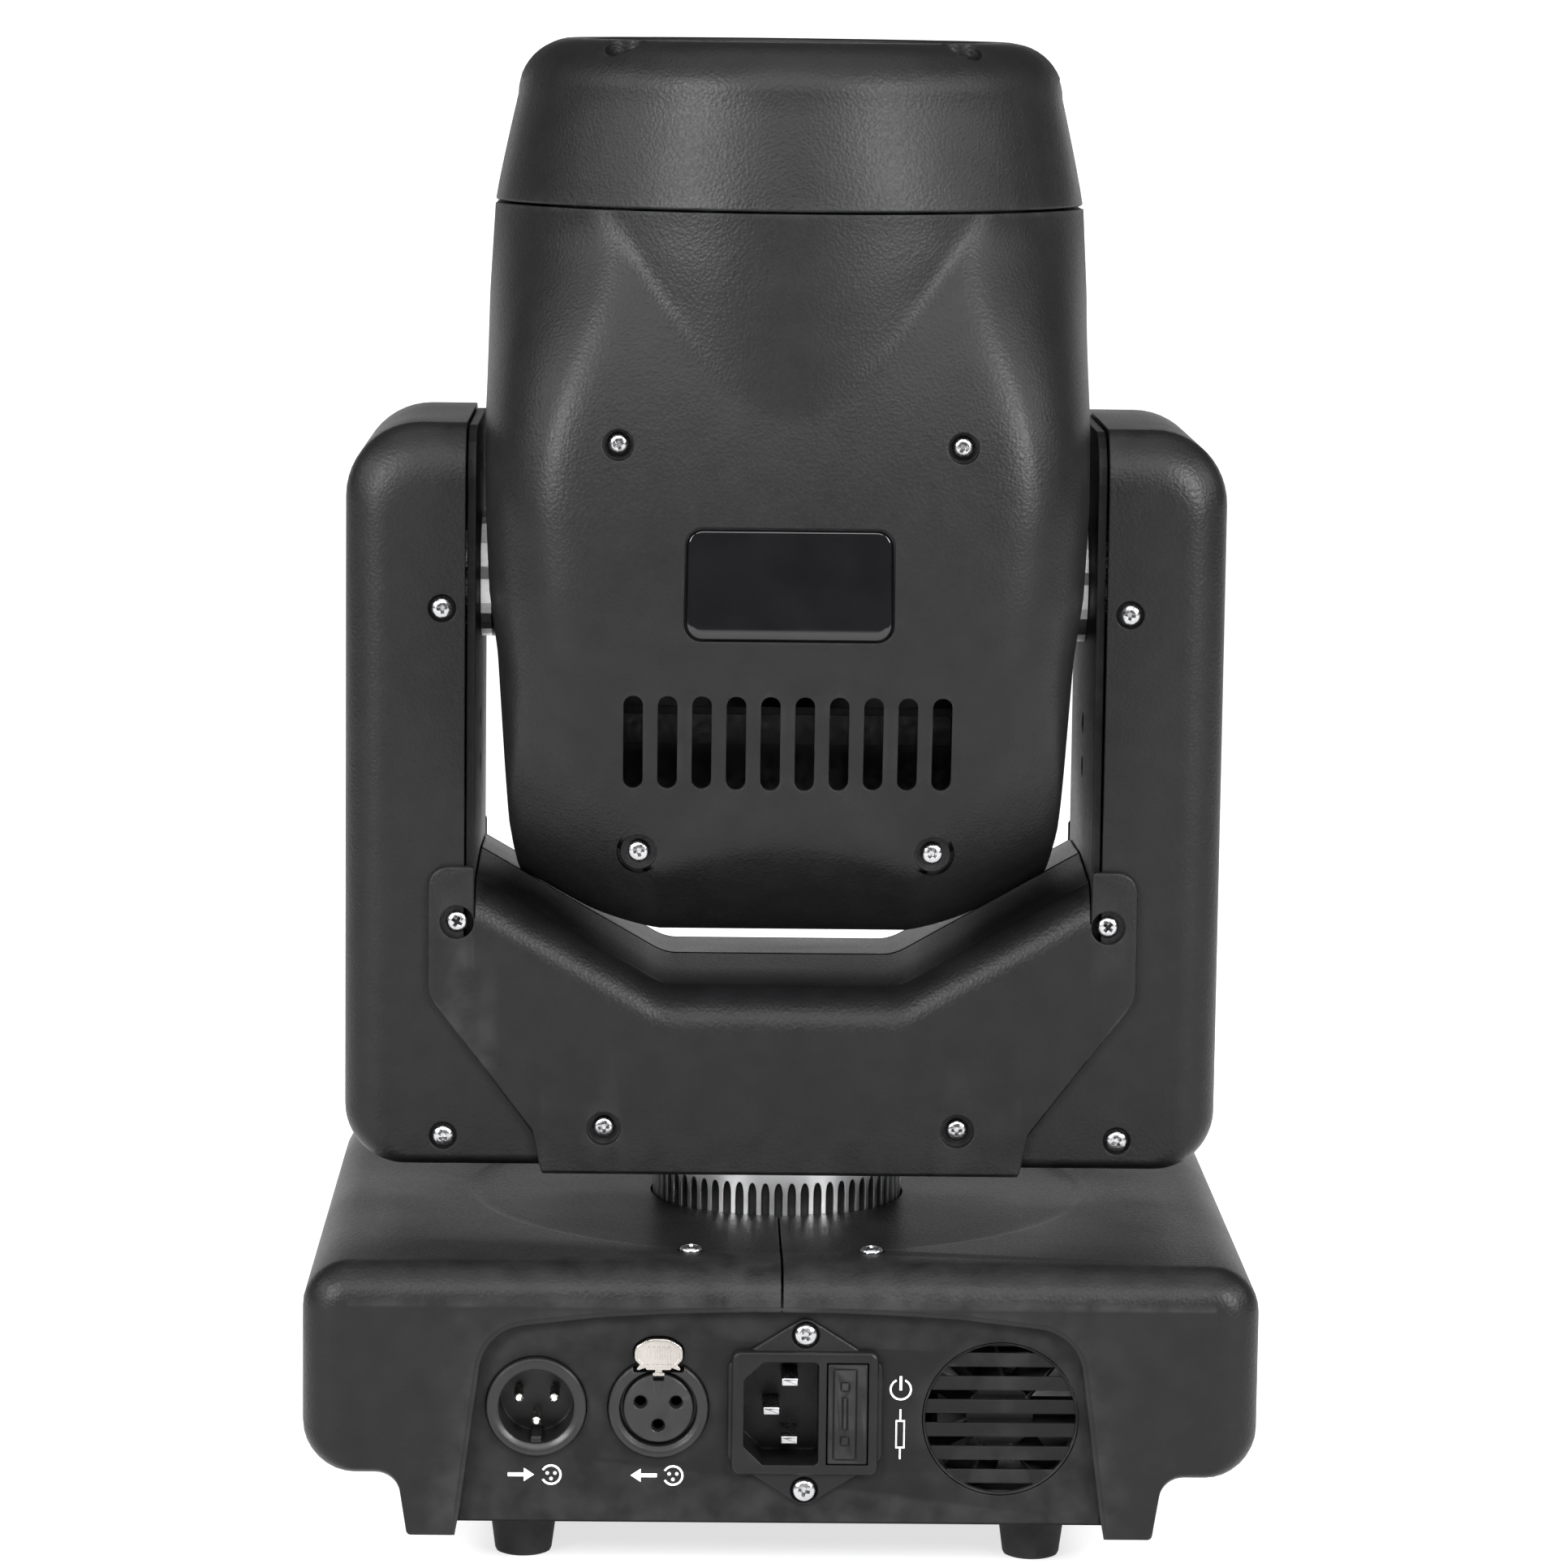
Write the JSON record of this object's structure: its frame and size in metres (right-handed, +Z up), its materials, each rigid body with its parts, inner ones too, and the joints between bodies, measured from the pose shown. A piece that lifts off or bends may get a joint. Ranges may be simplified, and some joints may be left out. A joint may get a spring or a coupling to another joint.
{
  "type": "moving head light",
  "caption": "Motorised stage spot light: a head that tilts in a yoke, and a yoke that pans on a base with signal and mains sockets.",
  "frame": {"origin": "on the floor under the middle of the base, which is also the pan axis", "axes": "+Z up along the pan axis, -Y towards the connector side, +X to the right when looking at the connectors; tilt axis along X"},
  "size_m": [0.2254, 0.19, 0.36],
  "materials": {
    "black_abs": "fine-textured moulded plastic",
    "gloss_black": "polished",
    "dark_steel": "powder coat",
    "rubber": "matt",
    "aluminium": "machined",
    "steel": "satin",
    "circuit_board": "solder mask",
    "glass": "polished",
    "wheel_filter": "coated",
    "led_plate": "satin"
  },
  "bodies": {
    "base": {"base_plate": "dark_steel", "base_shell_left": "black_abs", "base_shell_right": "black_abs", "rear_panel": "dark_steel", "front_panel": "dark_steel", "foot_rear_left": "rubber", "foot_rear_right": "rubber", "foot_front_left": "rubber", "foot_front_right": "rubber", "dmx_in_socket": "dark_steel", "dmx_out_socket": "dark_steel", "power_inlet": "black_abs", "fan_grille": "dark_steel", "base_fan_frame": "black_abs", "display": "gloss_black", "power_supply": "steel", "main_board": "circuit_board", "pan_motor": "dark_steel", "pan_belt": "rubber", "pan_bearing": "steel"},
    "latch": {"dmx_out_latch": "steel"},
    "fuse": {"fuse_drawer": "black_abs"},
    "base_fan": {"base_fan_rotor": "black_abs"},
    "pan_drive": {"pan_pinion": "steel"},
    "button_1": {"menu_button_1": "black_abs"},
    "button_2": {"menu_button_2": "black_abs"},
    "button_3": {"menu_button_3": "black_abs"},
    "button_4": {"menu_button_4": "black_abs"},
    "yoke": {"yoke_frame": "dark_steel", "pan_hub": "aluminium", "yoke_cover_rear": "black_abs", "yoke_cover_front": "black_abs", "arm_cover_left": "black_abs", "arm_cover_right": "black_abs", "tilt_motor": "dark_steel", "tilt_belt": "rubber", "tilt_bearing_left": "steel", "tilt_bearing_right": "steel"},
    "tilt_drive": {"tilt_pinion": "steel"},
    "head": {"head_frame": "steel", "head_cover_rear": "black_abs", "head_cover_front": "black_abs", "head_side_left": "black_abs", "head_side_right": "black_abs", "head_cap": "black_abs", "tilt_hub_left": "aluminium", "tilt_hub_right": "aluminium", "lens_bezel": "dark_steel", "front_lens": "glass", "badge": "gloss_black", "led_heatsink": "aluminium", "led_board": "led_plate", "head_fan_frame": "black_abs", "colour_motor": "dark_steel", "gobo_motor": "dark_steel", "focus_motor": "dark_steel"},
    "head_fan": {"head_fan_rotor": "black_abs"},
    "colours": {"colour_wheel": "wheel_filter"},
    "gobos": {"gobo_wheel": "steel"},
    "focus": {"focus_lens": "glass"}
  },
  "joints": [
    {"name": "pan", "type": "hinge", "parent": "base", "child": "yoke", "pos_m": [0, 0, 0.0755], "axis": [0, 0, 1], "range_deg": [-270, 270]},
    {"name": "tilt", "type": "hinge", "parent": "yoke", "child": "head", "pos_m": [0, 0, 0.229], "axis": [1, 0, 0], "range_deg": [-90, 90]},
    {"name": "pan_pinion_spin", "type": "hinge", "parent": "base", "child": "pan_drive", "pos_m": [-0.046, 0.04, 0.062], "axis": [0, 0, 1], "range_deg": [-1080, 1080]},
    {"name": "tilt_pinion_spin", "type": "hinge", "parent": "yoke", "child": "tilt_drive", "pos_m": [-0.098, 0, 0.15], "axis": [1, 0, 0], "range_deg": [-420, 420]},
    {"name": "base_fan_spin", "type": "hinge", "parent": "base", "child": "base_fan", "pos_m": [0.0518, -0.0842, 0.0394], "axis": [0, -1, 0], "continuous": true},
    {"name": "head_fan_spin", "type": "hinge", "parent": "head", "child": "head_fan", "pos_m": [0, 0, 0.158], "axis": [0, 0, 1], "continuous": true},
    {"name": "colour_wheel_spin", "type": "hinge", "parent": "head", "child": "colours", "pos_m": [0, 0.028, 0.22275], "axis": [0, 0, 1], "continuous": true},
    {"name": "gobo_wheel_spin", "type": "hinge", "parent": "head", "child": "gobos", "pos_m": [0, -0.028, 0.231], "axis": [0, 0, 1], "continuous": true},
    {"name": "focus_travel", "type": "slide", "parent": "head", "child": "focus", "axis": [0, 0, 1], "range_m": [-0.006, 0.018]},
    {"name": "latch_press", "type": "slide", "parent": "base", "child": "latch", "axis": [0, 1, 0], "range_m": [0, 0.0015], "stiffness_N_per_m": 800},
    {"name": "fuse_pull", "type": "slide", "parent": "base", "child": "fuse", "axis": [0, -1, 0], "range_m": [0, 0.02]},
    {"name": "button_1_press", "type": "slide", "parent": "base", "child": "button_1", "axis": [0, -1, 0], "range_m": [0, 0.0008], "stiffness_N_per_m": 900},
    {"name": "button_2_press", "type": "slide", "parent": "base", "child": "button_2", "axis": [0, -1, 0], "range_m": [0, 0.0008], "stiffness_N_per_m": 900},
    {"name": "button_3_press", "type": "slide", "parent": "base", "child": "button_3", "axis": [0, -1, 0], "range_m": [0, 0.0008], "stiffness_N_per_m": 900},
    {"name": "button_4_press", "type": "slide", "parent": "base", "child": "button_4", "axis": [0, -1, 0], "range_m": [0, 0.0008], "stiffness_N_per_m": 900}
  ],
  "couplings": [
    {"joint": "pan_pinion_spin", "follows": "pan", "ratio": 3.75},
    {"joint": "tilt_pinion_spin", "follows": "tilt", "ratio": 3}
  ]
}
